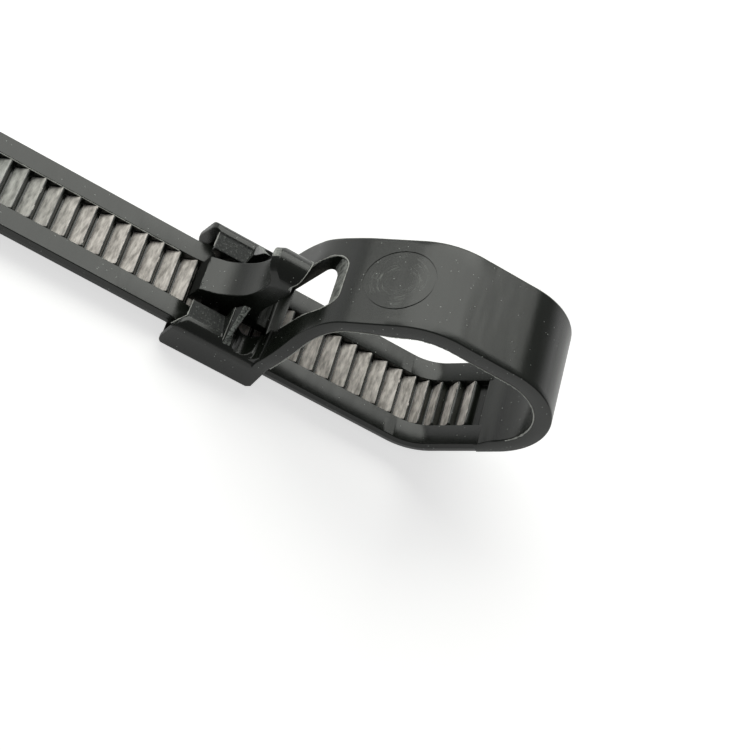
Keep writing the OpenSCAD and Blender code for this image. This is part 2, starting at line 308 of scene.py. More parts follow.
band_x0 = flat_x - joint_s - JOINT_LEN
band_x1 = flat_x - 0.4
foot_x = flat_x - CHEEK_H + 0.75
right = [(band_x0, STRAP_W / 2)] + [(x, half_width(x)) for x in np.arange(flat_x - 13, foot_x - 0.1, 0.25)]
right += [(foot_x - 0.02, HEAD_W / 2), (foot_x + 0.02, HEAD_W / 2 - 0.1), (band_x1, HEAD_W / 2 - 0.1)]
outline = [(x, -y) for x, y in right] + right[::-1]
win_x0 = flat_x - WINDOW_S
win_x1 = flat_x - CHEEK_H
corners = []
for side in (1, -1):
    for k in range(9) if side == 1 else range(8, -1, -1):
        p = polar(90 + k * 90 / 8)
        corners.append((win_x0 + CORNER_X + p[0] * CORNER_X,
                        side * (WINDOW_W / 2 - CORNER_Y + p[1] * CORNER_Y)))
window = corners + [(win_x1, -WINDOW_W / 2), (win_x1, WINDOW_W / 2)]
front = plate("front_band", [outline, window], FRONT_T, -STRAP_T)
print("front band:", len(front.data.vertices), "points flat")

# %% [markdown]
# The window is cut by a straight core of the tool, so once the neck leans, its end wall stands
# upright and faces the tail. In the flat band that wall slopes: the deeper, the nearer the head.

# %% Slope of the window's end wall
END_SLOPE = 1.29
for v in front.data.vertices:
    if win_x0 - 0.15 < v.co.x < win_x0 + CORNER_X + 0.01 and abs(v.co.y) < WINDOW_W / 2 + 0.12:
        v.co.x += END_SLOPE * (v.co.z + STRAP_T)

# %% [markdown]
# ## The ejector mark
# A pin pushes the moulding out of its tool and leaves a shallow ring. It is cut while the
# band is still flat, where a ring is only a thin tube, and it bends with the band.
# Most solid forms of the tie, this tube too, are a skin through rings of points. One function
# builds them all.

# %% A skin through rings of points
def ring_skin(name, rings, hoop=False):
    """A closed mesh through rings of points. Its ends get caps, or join each other in a hoop."""
    bm = bmesh.new()
    rings = [[bm.verts.new(p) for p in ring] for ring in rings]
    count = len(rings[0])
    follow = rings[1:] + rings[:1] if hoop else rings[1:]
    for a, b in zip(rings, follow):
        for i in range(count):
            j = (i + 1) % count
            bm.faces.new((a[i], a[j], b[j], b[i]))
    if not hoop:
        bm.faces.new(rings[0][::-1])
        bm.faces.new(rings[-1])
    bmesh.ops.recalc_face_normals(bm, faces=bm.faces)
    mesh = bpy.data.meshes.new(name)
    bm.to_mesh(mesh)
    bm.free()
    return new_object(name, mesh)


# %% Ring groove of the ejector mark
MARK_BACK = 1.0     # from the start of the shoulder bend back along the slanted run
MARK_X, MARK_Y, MARK_R = flat_x - starts[4] + MARK_BACK, 0.15, 2.6
GROOVE_W, GROOVE_DEPTH = 0.14, 0.05


def tube(name, radius, wall, z0, z1, count=96):
    """A thin upright tube round the middle of the mark."""
    turns = [2 * math.pi * i / count for i in range(count)]
    profile = ((radius - wall, z0), (radius, z0), (radius, z1), (radius - wall, z1))
    return ring_skin(name, [[(MARK_X + r * math.cos(a), MARK_Y + r * math.sin(a), z) for a in turns]
                            for r, z in profile], hoop=True)


def boolean(obj, tool, operation="DIFFERENCE"):
    """Cuts the tool out of the object, or keeps only what they share. The tool goes."""
    mod = obj.modifiers.new("boolean", "BOOLEAN")
    mod.operation = operation
    mod.solver = "EXACT"
    mod.object = tool
    name = obj.name
    obj.name = name + "_before"
    done = evaluated(obj, name)
    bpy.data.objects.remove(tool)
    return done


# %% The band is cut, thinned and bent
front = boolean(front, tube("ring", MARK_R, GROOVE_W, -STRAP_T - 0.2, -STRAP_T + GROOVE_DEPTH))
band_stations = np.arange(band_x0 + 0.2, flat_x - 1.0, 0.24)
front = slice_across(front, band_stations)


def thickness(x):
    """The band is thinner in the two legs and where it meets the toothed strap."""
    run = ease((flat_x - joint_s + 0.1 - x) / JOINT_LEN)
    leg = ease((flat_x - starts[3] - x) / (starts[4] - starts[3]))
    return FRONT_T - run * (FRONT_T - STRAP_T + 0.03) - (1 - leg) * (FRONT_T - LEG_T)


def thinned(co):
    co[:, 2] = -STRAP_T + (co[:, 2] + STRAP_T) * thickness(co[:, 0]) / FRONT_T
    return co


def finish_faces(obj, finishes, pick):
    """Gives each face the finish whose number pick returns for its centre and normal."""
    for finish in finishes:
        obj.data.materials.append(finish)
    for face in obj.data.polygons:
        face.material_index = pick(face.center, face.normal)


def end_wall(c, n):
    """1 on the torn end wall of the window."""
    return int(win_x0 - 0.1 < c.x < win_x0 + 2.7 and abs(c.y) < WINDOW_W / 2 + 0.02 and n.x > 0.45)


finish_faces(front, (nylon, torn_and_highlight_nylon), end_wall)
move_points(front, thinned)
bend_object(front)
print("front band:", len(front.data.polygons), "faces bent")

# %% [markdown]
# ## The toothed strap
# Under the teeth the strap is a thin web with a rail on each side. Its section never changes,
# so one closed outline is drawn and swept along the strap. The sides of a moulding lean a few
# degrees from a parting line at mid height, or it would stick in the tool. That lean is why the
# lower half of the edge catches the light from the table and the upper half does not.

# %% Section of the strap
WEB_T = STRAP_T - TOOTH_H


def rounded(points, radii, steps=3):
    """The outline with each corner rounded by its own radius."""
    out = []
    n = len(points)
    for i, (p, r) in enumerate(zip(points, radii)):
        p = np.array(p, float)
        if r == 0:
            out.append(tuple(p))
            continue
        a = np.array(points[i - 1], float) - p
        b = np.array(points[(i + 1) % n], float) - p
        a, b = a / np.linalg.norm(a), b / np.linalg.norm(b)
        half = math.acos(max(-1, min(1, float(a @ b)))) / 2
        reach = r / math.tan(half)
        mid = (a + b) / np.linalg.norm(a + b)
        centre = p + mid * (r / math.sin(half))
        s, e = p + a * reach - centre, p + b * reach - centre
        for k in range(steps + 1):
            d = s * (1 - k / steps) + e * (k / steps)
            out.append(tuple(centre + d / np.linalg.norm(d) * r))
    return out


DRAFT = 0.07
half_w, lad = STRAP_W / 2, LADDER_W / 2
half_section = [(half_w - DRAFT, -STRAP_T), (half_w, -STRAP_T * 0.5), (half_w - DRAFT, 0),
                (lad + 0.02, 0), (lad, -TOOTH_H)]
half_radii = [0.12, 0.03, 0.07, 0.06, 0.08]
section = rounded([(-half_w + DRAFT, -STRAP_T)] + half_section + [(-y, z) for y, z in half_section[:0:-1]],
                  [0.12] + half_radii + half_radii[:0:-1])
print("section:", len(section), "points")

# %% Sweep along the strap
TIP_LEN = 14
strap_x0 = tail_x + TIP_LEN
stations = list(np.arange(strap_x0, -8, 2.0)) + list(np.arange(-8, low_c[0] - 0.3, 0.3))
stations += list(np.arange(low_c[0], flat_x - joint_s + 0.4, 0.2))
strap = ring_skin("strap_web_and_rails", [[(x, y, z) for y, z in section] for x in stations])
bend_object(strap)
print("strap:", len(strap.data.polygons), "faces")

# %% [markdown]
# ## The teeth
# Every tooth has a long ramp and a short locking face, and stands between the rails. One tooth
# is made once, with a worn crest. Geometry Nodes then set a row of it at the pitch, turn each
# copy into real mesh, roughen the crests a little differently for each tooth, and give the
# ramps their own finish. The row is made flat and bent with the strap.

# %% One tooth
RAMP = TOOTH_H / math.tan(math.radians(36))
CREST, LOCK = 0.12, 0.28


def tooth_rings():
    """Sections of a tooth, side by side across the strap. The two beside the rails sit lower."""
    crest_end = RAMP + CREST
    prof = [(0, -TOOTH_H)] + [(RAMP * k / 6, -TOOTH_H + TOOTH_H * k / 6) for k in range(1, 6)]
    prof += [(RAMP - 0.03, -0.025), (RAMP + 0.02, 0.0), (crest_end - 0.03, 0.0), (crest_end + 0.02, -0.03),
             (crest_end + LOCK * 0.5, -TOOTH_H * 0.5), (crest_end + LOCK, -TOOTH_H),
             (crest_end + LOCK, -TOOTH_H - WEB_T / 2), (0, -TOOTH_H - WEB_T / 2)]
    half = LADDER_W / 2 + 0.01
    ys = [-half, -half + 0.06] + list(np.linspace(-half, half, 17)[1:-1]) + [half - 0.06, half]
    drops = [0.05] + [0.0] * (len(ys) - 2) + [0.05]
    return [[(x, y, z - (drop if z > -TOOTH_H * 0.9 else 0)) for x, z in prof] for y, drop in zip(ys, drops)]


# %% Helpers for colours and nodes
def colour(hex_code):
    """sRGB hex to the linear colour that the shader reads."""
    parts = [int(hex_code[i:i + 2], 16) / 255 for i in (1, 3, 5)]
    return [c / 12.92 if c <= 0.04045 else ((c + 0.055) / 1.055) ** 2.4 for c in parts] + [1]


def add(tree, kind, settings=None, links=None):
    """Adds a node. A setting or link is named by its socket's name or index, or by an attribute."""
    node = tree.nodes.new(kind)
    for key, value in (settings or {}).items():
        if isinstance(key, str) and hasattr(node, key):
            setattr(node, key, value)
        else:
            node.inputs[key].default_value = value
    for key, source in (links or {}).items():
        tree.links.new(source, node.inputs[key])
    return node


def node_group(name, sockets):
    """A node group with the named inputs and one geometry output. Returns it with its input sockets."""
    tree = bpy.data.node_groups.new(name, "GeometryNodeTree")
    for label, kind, value in sockets:
        socket = tree.interface.new_socket(label, in_out="INPUT", socket_type="NodeSocket" + kind)
        if value is not None:
            socket.default_value = value
    tree.interface.new_socket("Geometry", in_out="OUTPUT", socket_type="NodeSocketGeometry")
    return tree, tree.nodes.new("NodeGroupInput").outputs


def painted(tree, geometry, finish, chosen=None):
    """The geometry in a finish, or only its chosen faces."""
    links = {"Geometry": geometry, "Material": finish}
    if chosen is not None:
        links["Selection"] = chosen
    return add(tree, "GeometryNodeSetMaterial", links=links).outputs[0]


def give(tree, geometry):
    """Sends the geometry out of the group."""
    tree.links.new(geometry, tree.nodes.new("NodeGroupOutput").inputs[0])
    return tree


# %% Row of teeth with Geometry Nodes
BURR_DEPTH = 0.16               # how far below the crest the wear reaches
RAMP_WAY = (-0.588, 0, 0.809)   # the way the ramps face, at 36 degrees


def row_tree():
    tree, start = node_group("row_of_teeth", (
        ("Tooth", "Object", None), ("Count", "Int", 10), ("Pitch", "Float", TOOTH_PITCH),
        ("First X", "Float", 0.0), ("Burr", "Float", 0.05), ("Ramp finish", "Material", None),
        ("Plain finish", "Material", None), ("Seed", "Int", 7)))
    first = add(tree, "ShaderNodeCombineXYZ", links={"X": start["First X"]})
    step = add(tree, "ShaderNodeCombineXYZ", links={"X": start["Pitch"]})
    line = add(tree, "GeometryNodeMeshLine", links={
        "Count": start["Count"], "Start Location": first.outputs[0], "Offset": step.outputs[0]})
    tooth = add(tree, "GeometryNodeObjectInfo", links={"Object": start["Tooth"]})
    wobble = add(tree, "FunctionNodeRandomValue",
                 {"data_type": "FLOAT_VECTOR", 0: (0.985, 0.995, 0.97), 1: (1.015, 1.0, 1.0)},
                 {"Seed": start["Seed"]})
    placed = add(tree, "GeometryNodeInstanceOnPoints", links={
        "Points": line.outputs[0], "Instance": tooth.outputs["Geometry"], "Scale": wobble.outputs[0]})
    real = add(tree, "GeometryNodeRealizeInstances", links={0: placed.outputs[0]})
    where = add(tree, "GeometryNodeInputPosition")
    split = add(tree, "ShaderNodeSeparateXYZ", links={0: where.outputs[0]})
    crest = add(tree, "ShaderNodeMapRange", {1: -BURR_DEPTH, 2: 0.0, 3: 0.0, 4: 1.0}, {0: split.outputs["Z"]})
    ragged = add(tree, "ShaderNodeTexNoise",
                 {"noise_dimensions": "4D", "Scale": 2.6, "Detail": 4.0, "Roughness": 0.65},
                 {"Vector": where.outputs[0]})
    offset = add(tree, "ShaderNodeVectorMath", {"operation": "SUBTRACT", 1: (0.5, 0.5, 0.5)},
                 {0: ragged.outputs["Color"]})
    size = add(tree, "ShaderNodeMath", {"operation": "MULTIPLY"}, {0: crest.outputs[0], 1: start["Burr"]})
    push = add(tree, "ShaderNodeVectorMath", {"operation": "SCALE"},
               {0: offset.outputs[0], "Scale": size.outputs[0]})
    worn = add(tree, "GeometryNodeSetPosition", links={"Geometry": real.outputs[0], "Offset": push.outputs[0]})
    normal = add(tree, "GeometryNodeInputNormal")
    facing = add(tree, "ShaderNodeVectorMath", {"operation": "DOT_PRODUCT", 1: RAMP_WAY},
                 {0: normal.outputs[0]})
    on_ramp = add(tree, "FunctionNodeCompare", {"operation": "GREATER_THAN", 1: 0.86},
                  {0: facing.outputs["Value"]})
    plain = painted(tree, worn.outputs[0], start["Plain finish"])
    return give(tree, painted(tree, plain, start["Ramp finish"], on_ramp.outputs[0]))


def run_nodes(name, tree, values):
    """The mesh that a node group makes of these values."""
    obj = new_object(name + "_row", bpy.data.meshes.new(name))
    mod = obj.modifiers.new("nodes", "NODES")
    mod.node_group = tree
    for item in tree.interface.items_tree:
        if item.in_out == "INPUT" and item.name in values:
            mod[item.identifier] = values[item.name]
    return evaluated(obj, name)


# %% [markdown]
# The row runs from the tip of the tail, through the head, to where the toothed strap joins the band.

# %% The row on the strap
tooth = ring_skin("tooth_master", tooth_rings())
count = int((flat_x - joint_s - 1.8 - TOOTH_X) / TOOTH_PITCH)
before = int((TOOTH_X - strap_x0 - 0.6) / TOOTH_PITCH)
teeth = run_nodes("ratchet_teeth", row_tree(), {
    "Tooth": tooth, "Count": before + count, "Pitch": TOOTH_PITCH, "First X": TOOTH_X - before * TOOTH_PITCH,
    "Burr": 0.10, "Ramp finish": worn_and_lit_ramps, "Plain finish": nylon, "Seed": 7})
bpy.data.objects.remove(tooth)
bend_object(teeth)
print("teeth:", before + count, "with", len(teeth.data.polygons), "faces")

# %% [markdown]
# ## The tip of the tail
# The tip is thinner and narrower than the strap, so that it starts into the slot, and has fine
# ribs across it for the fingers. The ribs repeat, so Geometry Nodes lay them out as well.

# %% Tip and its grip ribs
TIP_T = STRAP_T * 0.8
TIP_W = STRAP_W * 0.72
RIBS, RIB_STEP, RIB_R = 7, 1.54, 0.25
tip_right = [(strap_x0 + 0.3, half_w - 0.05), (tail_x + TIP_LEN * 0.2, TIP_W / 2),
             (tail_x + 1.2, TIP_W * 0.42), (tail_x + 0.3, TIP_W * 0.32), (tail_x, TIP_W * 0.2)]
tip = plate("tail_tip", [[(x, -y) for x, y in tip_right] + tip_right[::-1]], TIP_T, -STRAP_T, 0.1)


def rib_tree():
    tree, start = node_group("grip_ribs", (
        ("Count", "Int", 7), ("Step", "Float", 1.54), ("Width", "Float", 4.6), ("Radius", "Float", 0.25),
        ("First", "Vector", (0, 0, 0)), ("Finish", "Material", None)))
    step = add(tree, "ShaderNodeCombineXYZ", links={"X": start["Step"]})
    line = add(tree, "GeometryNodeMeshLine", links={
        "Count": start["Count"], "Start Location": start["First"], "Offset": step.outputs[0]})
    rib = add(tree, "GeometryNodeMeshCylinder", {"Vertices": 20},
              {"Radius": start["Radius"], "Depth": start["Width"]})
    placed = add(tree, "GeometryNodeInstanceOnPoints", {"Rotation": (math.pi / 2, 0, 0)},
                 {"Points": line.outputs[0], "Instance": rib.outputs[0]})
    real = add(tree, "GeometryNodeRealizeInstances", links={0: placed.outputs[0]})
    return give(tree, painted(tree, real.outputs[0], start["Finish"]))


ribs = run_nodes("tip_ribs", rib_tree(), {
    "Count": RIBS, "Step": RIB_STEP, "Width": TIP_W * 0.85, "Radius": RIB_R,
    "First": (tail_x + TIP_LEN - RIBS * RIB_STEP, 0.0, TIP_T - STRAP_T), "Finish": nylon})
bend_object(tip)
bend_object(ribs)

# %% [markdown]
# ## Flash, and painted edge highlights
# Where the halves of a moulding tool meet, a hair of nylon is squeezed out. It shows as a fine
# broken white line along the edges of the band. The same white lines also paint bright edge
# highlights there and on the head and lever. A line of points is turned into a thin tube by
# Geometry Nodes, and a noise makes the tube swell out of the edge here and there.

# %% Flash lines, also painted edge highlights
def white_line_tree():
    tree, start = node_group("flash_line", (
        ("Line", "Object", None), ("Step", "Float", 0.09), ("Thin", "Float", 0.026),
        ("Thick", "Float", 0.06), ("Seed", "Float", 3.0), ("Finish", "Material", None)))
    source = add(tree, "GeometryNodeObjectInfo", links={"Object": start["Line"]})
    line = add(tree, "GeometryNodeMeshToCurve", links={"Mesh": source.outputs["Geometry"]})
    even = add(tree, "GeometryNodeResampleCurve", {"mode": "LENGTH"},
               {"Curve": line.outputs[0], "Length": start["Step"]})
    where = add(tree, "GeometryNodeInputPosition")
    swell = add(tree, "ShaderNodeTexNoise",
                {"noise_dimensions": "4D", "Scale": 1.9, "Detail": 5.0, "Roughness": 0.8},
                {"Vector": where.outputs[0], "W": start["Seed"]})
    size = add(tree, "ShaderNodeMapRange", {1: 0.42, 2: 0.66},
               {0: swell.outputs[0], 3: start["Thin"], 4: start["Thick"]})
    circle = add(tree, "GeometryNodeCurvePrimitiveCircle", {"Resolution": 6, "Radius": 1.0})
    pipe = add(tree, "GeometryNodeCurveToMesh", {"Fill Caps": True},
               {"Curve": even.outputs[0], "Profile Curve": circle.outputs[0], "Scale": size.outputs[0]})
    return give(tree, painted(tree, pipe.outputs[0], start["Finish"]))


white_line_nodes = white_line_tree()


def white_edge_line(name, points, thick, seed):
    """A white line through the points, flash and painted edge highlight, with its own seed for the swelling.
    """
    mesh = bpy.data.meshes.new(name)
    mesh.from_pydata([tuple(p) for p in points], [(i, i + 1) for i in range(len(points) - 1)], [])
    guide = new_object(name + "_guide", mesh)
    done = run_nodes(name, white_line_nodes, {"Line": guide, "Thick": thick, "Seed": seed, "Finish": white_flash_and_highlight})
    bpy.data.objects.remove(guide)
    return done


edge_xs = np.arange(flat_x - 34, flat_x - 2.0, 0.3)
near_edge = [(x, -half_width(x) + 0.02, -STRAP_T + thickness(x) - 0.02) for x in edge_xs]
far_edge = [(x, half_width(x) - 0.03, -STRAP_T + 0.03) for x in edge_xs]
window_edge = [(x - 0.04, y * 1.015, -STRAP_T + 0.03) for x, y in corners]
window_ends = [(win_x1 - 2, side * (WINDOW_W / 2 + 0.03), -STRAP_T + 0.03) for side in (1, -1)]
window_edge = window_ends[:1] + window_edge + window_ends[1:]
ladder_edge = [(x, LADDER_W / 2 - 0.02, -0.03) for x in np.arange(-24, -4.2, 0.3)]
# white lines: moulding flash, and at the same time painted edge highlights along these edges
white_edge_lines = [white_edge_line("flash_near_edge", near_edge, 0.085, 3.0), white_edge_line("flash_far_edge", far_edge, 0.035, 5.0),
           white_edge_line("flash_window", window_edge, 0.085, 9.0), white_edge_line("flash_ladder", ladder_edge, 0.06, 4.0)]
print("flash tube:", [round(d, 3) for d in white_edge_lines[2].dimensions])
for item in white_edge_lines:
    bend_object(item)
print("flash:", sum(len(item.data.polygons) for item in white_edge_lines), "faces")

# %% [markdown]
# ## Soft moulded blocks
# The head and the lever are chunky forms with many cuts. Prisms are joined and cut with exact
# booleans, which keeps every face flat and every size true. A fine voxel remesh then turns the
# result into one even skin, and a little smoothing rounds all the edges at once, as the small
# radii of a moulding tool do. At last the mesh is thinned where the surface is flat.

# %% Helpers for solid forms
def prism(name, points, axis, low, high):
    """A closed prism along an axis. Its points are (y, z), (x, z) or (x, y), across X, Y or Z."""
    place = {"X": lambda a, b, c: (c, a, b), "Y": lambda a, b, c: (a, c, b),
             "Z": lambda a, b, c: (a, b, c)}[axis]
    return ring_skin(name, [[place(a, b, c) for a, b in points] for c in (low, high)])


def slab(name, x0, x1, y0, y1, z0, z1):
    """A box."""
    return prism(name, [(x0, z0), (x1, z0), (x1, z1), (x0, z1)], "Y", y0, y1)


def merge(name, objs):
    """All the objects in one mesh. The skin that follows makes one solid of them."""
    bm = bmesh.new()
    for obj in objs:
        bm.from_mesh(obj.data)
        bpy.data.objects.remove(obj)
    mesh = bpy.data.meshes.new(name)
    bm.to_mesh(mesh)
    bm.free()
    return new_object(name, mesh)


def soften(obj, voxel, rounds, keep):
    """One even skin over the form, with soft edges, thinned to a share of its faces."""
    name = obj.name
    obj.name = name + "_sharp"
    skin = obj.modifiers.new("skin", "REMESH")
    skin.mode = "VOXEL"
    skin.voxel_size = voxel
    soft = obj.modifiers.new("soft", "SMOOTH")
    soft.iterations = rounds
    soft.factor = 0.5
    thin = obj.modifiers.new("thin", "DECIMATE")
    thin.ratio = keep
    return evaluated(obj, name)


# %% [markdown]
# ## The head
# The strap runs through a slot low in the head. Above it two cheeks leave a channel for the
# pawl. The cheeks' tops come from a spark-eroded part of the tool and are grainy, the outer
# rims are smooth and well rounded. The mouth on the tail side flares, so that the tip finds it.

# %% The head's block
CORNER_R = 0.8
RIM_R = 0.85
FIN_X, FIN_T, FIN_TOP = 0.5, 0.42, 3.9      # the tall fins: place, thickness and top


def arc(cx, cz, r, a0, a1, steps=8):
    """Points on a round corner."""
    return [(cx + r * polar(a0 + (a1 - a0) * k / steps)[0], cz + r * polar(a0 + (a1 - a0) * k / steps)[1])
            for k in range(steps + 1)]


side = (arc(HEAD_X1 - CORNER_R, BACK_Z + CORNER_R, CORNER_R, 270, 360)
        + [(HEAD_X1, CHEEK_H)] + arc(HEAD_X0 + 0.25 + CORNER_R, CHEEK_H - CORNER_R, CORNER_R, 90, 172)
        + arc(HEAD_X0 + CORNER_R, BACK_Z + CORNER_R, CORNER_R, 180, 270))
hw = HEAD_W / 2
end_right = [(hw - 0.2, BACK_Z), (hw, BACK_Z + 0.2)] + arc(hw - RIM_R, CHEEK_H - RIM_R + 0.02, RIM_R, 0, 90)
end_left = arc(-hw + RIM_R, CHEEK_H - RIM_R + 0.02, RIM_R, 90, 180) + [(-hw, BACK_Z + 0.2)]
end = [(-hw + 0.2, BACK_Z)] + end_right + end_left
head = prism("tie_head", side, "Y", -hw, hw)
head = boolean(head, prism("end_form", end, "X", HEAD_X0 - 1, HEAD_X1 + 1), "INTERSECT")

# %% Slot, mouth and channel
MOUTH_HALF_W, MOUTH_FLOOR = 4.75, -1.42             # where the strap comes out
THROAT_X, THROAT_HALF_W, THROAT_FLOOR = -2.55, 3.9, -1.1
slot_w = STRAP_W + 2 * SLOT_GAP
head = boolean(head, slab("slot", HEAD_X0 - 1, HEAD_X1 + 1, -slot_w / 2, slot_w / 2, -STRAP_T - SLOT_GAP, 0.2))


def box_ring(x, half_y, z0, z1):
    """An upright rectangle across the head at x."""
    return [(x, -half_y, z0), (x, half_y, z0), (x, half_y, z1), (x, -half_y, z1)]


mouth = [box_ring(HEAD_X0 - 0.3, MOUTH_HALF_W, MOUTH_FLOOR, 2.5),
         box_ring(THROAT_X, THROAT_HALF_W, THROAT_FLOOR, 2.5)]
head = boolean(head, ring_skin("mouth", mouth))
roof_ramp = [(-2.7, -0.5), (-2.7, 1.1), (-1.5, 0.19), (-1.5, -0.5)]
head = boolean(head, prism("roof_ramp", roof_ramp, "Y", -slot_w / 2, slot_w / 2))
head = boolean(head, slab("channel", HEAD_X0 - 1, LEG_X, -CHANNEL_W / 2, CHANNEL_W / 2, 0, 3))
print("head with its cuts:", len(head.data.polygons), "faces")

# %% [markdown]
# Behind each fin a round hollow runs down to the channel. Its two end sections are half ellipses:
# deep at the channel, shallow at the rim. The grainy top of a cheek lies a hair lower than its rim.

# %% Grainy tops and hollows
GRAIN_DEPTH, HOLLOW_TOP = 0.07, 2.3
hollow_ends = ((2.2, 0.9, 3.0, 0.62), (4.72, 0.58, 2.7, 1.46))     # y, tail end, loop end, floor
for sign in (-1, 1):
    y0, y1 = sorted((sign * CHANNEL_W / 2 - sign * 0.2, sign * 3.87))
    head = boolean(head, slab("eroded_top", -3.5, 0.32, y0, y1, CHEEK_H - GRAIN_DEPTH, 3))
    scoop = []
    for y, x0, x1, floor_z in hollow_ends:
        mid, wide, deep = (x0 + x1) / 2, (x1 - x0) / 2, HOLLOW_TOP - floor_z
        half_ellipse = [(mid + wide * polar(180 + a)[0], sign * y, HOLLOW_TOP + deep * polar(180 + a)[1])
                        for a in range(0, 181, 12)]
        scoop.append(half_ellipse + [(x1, sign * y, HOLLOW_TOP + 2), (x0, sign * y, HOLLOW_TOP + 2)])
    head = boolean(head, ring_skin("scoop", scoop))


# %% Leg roots, fins and heels
def fin(inner, outer, sign):
    """A wedge on a cheek, between a section beside the channel and one at the rim."""
    return ring_skin("fin", [[(x, y, z) for x, z in section] for section, y in (
        (inner, sign * CHANNEL_W / 2), (outer, sign * (hw - 0.25)))])


roots = []
for sign in (-1, 1):
    root = [(1.5, 3.9), (2.4, hw - 0.28), (LEG_X, hw), (HEAD_X1, hw), (HEAD_X1, 3.6), (2.0, 3.6)]
    roots.append(prism("leg_root", [(x, sign * y) for x, y in root], "Z", -1.2, 1.12))

tall_fin = ([(0.06, 0.9), (0.06, 3.1), (0.5, FIN_TOP), (0.95, FIN_TOP), (0.95, 0.9)],
            [(0.42, 0.9), (0.42, 1.33), (0.5, 1.38), (0.62, 1.38), (0.62, 0.9)])
thin_ridge = ([(-0.05, 0.9), (-0.05, 3.08), (0.1, 3.12), (0.1, 0.9), (0.0, 0.8)],
              [(0.34, 0.9), (0.34, 1.34), (0.44, 1.37), (0.44, 0.9), (0.4, 0.8)])
heel = ([(3.3, 0.3), (2.7, 0.3), (2.85, 0.9), (2.95, 1.4), (3.02, 1.9), (3.06, 2.4), (3.09, 2.9), (3.3, 2.9)],
        [(3.3, 1.0), (2.2, 1.0), (2.2, 1.4), (2.5, 1.46), (2.75, 1.6), (2.95, 1.85), (3.08, 2.2), (3.3, 2.2)])
fins = [fin(*sections, sign) for sign in (-1, 1) for sections in (tall_fin, thin_ridge, heel)]

# %% Painted highlights on the head's edges, and its soft skin
# painted highlights: white lines on the cheeks' tail-side edges and a fin's ridge, where light catches them
for name, points, thick, seed in (
        ("flash_near_cheek", [(-3.35, -4.7, 1.05), (-2.62, -3.86, 1.62), (-2.6, -2.5, 1.66)], 0.07, 2.0),
        ("flash_far_cheek", [(-2.66, 2.45, 1.66), (-2.62, 3.8, 1.65)], 0.07, 6.0),
        ("flash_near_fin", [(0.06, -2.42, 3.12), (0.4, -4.62, 1.37)], 0.045, 8.0)):
    white_edge_lines.append(white_edge_line(name, points, thick, seed))
head = soften(merge("tie_head", [head] + fins + roots), voxel=0.055, rounds=3, keep=0.45)
print("head:", len(head.data.polygons), "faces")

# %% [markdown]
# ## The pawl and its release lever
# The lever is a curved finger. Its front is hollow for a fingertip, its end is thicker and
# rounded. The pawl at its foot has teeth that stand between those of the strap. A thin web
# joins it to the cross wall between the legs, and the nylon of that web is the hinge.

# %% Outlines of the lever, seen from the side
LEVER_W = 3.0
END_Z, END_R2 = 6.28, 1.5       # centre and radius of the round end, seen along X
LIP = 0.42                      # chamfer of the lip
front_face = [
    (-2.76, 0.6), (-2.7, 0.95), (-2.62, 1.55), (-2.5, 1.75), (-2.0, 1.93), (-1.5, 2.12), (-0.95, 2.47),
    (-0.4, 2.92), (0.05, 3.36), (0.37, 3.8), (0.65, 4.4), (0.85, 5.1), (0.95, 5.8), (0.95, 6.3),
    (0.86, 6.52), (0.62, 6.78), (0.36, 7.02), (0.18, 7.3), (0.05, 7.6), (0.0, 7.95)]
back_face = [
    (3.15, 7.95), (3.1, 7.3), (2.85, 6.9), (2.62, 6.62), (2.5, 5.6), (2.39, 4.92), (2.2, 4.08),
    (2.07, 3.63), (1.98, 2.9), (1.95, 2.2)]
foot = [(2.05, 1.6), (2.3, 1.28), (LEG_X + 0.3, 1.2), (LEG_X + 0.3, 0.55), (1.6, 0.45), (0.9, 0.25),
        (0.6, 0.05), (-2.7, 0.05), (-2.76, 0.25)]


def through(points, steps=4):
    """A smooth line through the points, a cubic from each point to the next."""
    p = np.array([points[0]] + list(points) + [points[-1]], float)
    out = []
    for a, b, c, d in zip(p, p[1:], p[2:], p[3:]):
        for t in np.arange(steps) / steps:
            out.append(0.5 * (2 * b + (c - a) * t + (2 * a - 5 * b + 4 * c - d) * t ** 2
                              + (3 * b - a - 3 * c + d) * t ** 3))
    return np.array(out + [p[-1]])


FRONT_LINE = through(front_face)
BACK_LINE = through(back_face)


def front_x(z):
    return np.interp(z, FRONT_LINE[:, 1], FRONT_LINE[:, 0])


def back_x(y, z):
    """The back of the lever. Near its end it turns a little towards one side."""
    turned = (y / LEVER_W - 0.35) * 0.6
    return np.interp(z, BACK_LINE[::-1, 1], BACK_LINE[::-1, 0]) + turned * float(ease((z - 6.2) / 0.8))


# %% The lever's skin
def lever_section(y):
    """Outline of the lever at y. Its top is round about X, with a chamfer at the lip."""
    top = END_Z + math.sqrt(max(END_R2 ** 2 - y * y, 0))
    out = [(front_x(z), y, z) for z in np.linspace(front_face[0][1], top - LIP, 44)]
    out.append((out[-1][0] + LIP * 1.1, y, top))
    out += [(back_x(y, z), y, z) for z in np.linspace(top, back_face[-1][1], 30)]
    return out + [(x, y, z) for x, z in foot]


lever_ys = [-LEVER_W / 2 * math.cos(math.pi * k / 24) for k in range(25)]
lever = ring_skin("release_lever", [lever_section(y) for y in lever_ys])

# %% The pawl's teeth
# Each hangs down between two teeth of the strap, with its steep side to their locking faces.
pawl = []
for i in range(2):
    x = TOOTH_X + i * TOOTH_PITCH + 0.05 + RAMP + CREST
    profile = [(x, 0.3), (x, 0), (x + LOCK - 0.08, -0.43), (x + LOCK + 0.62, 0.3)]
    pawl.append(prism("pawl_tooth", profile, "Y", -LEVER_W / 2, LEVER_W / 2))
lever = soften(merge("release_lever", [lever] + pawl), voxel=0.045, rounds=2, keep=0.5)
print("lever:", len(lever.data.polygons), "faces")

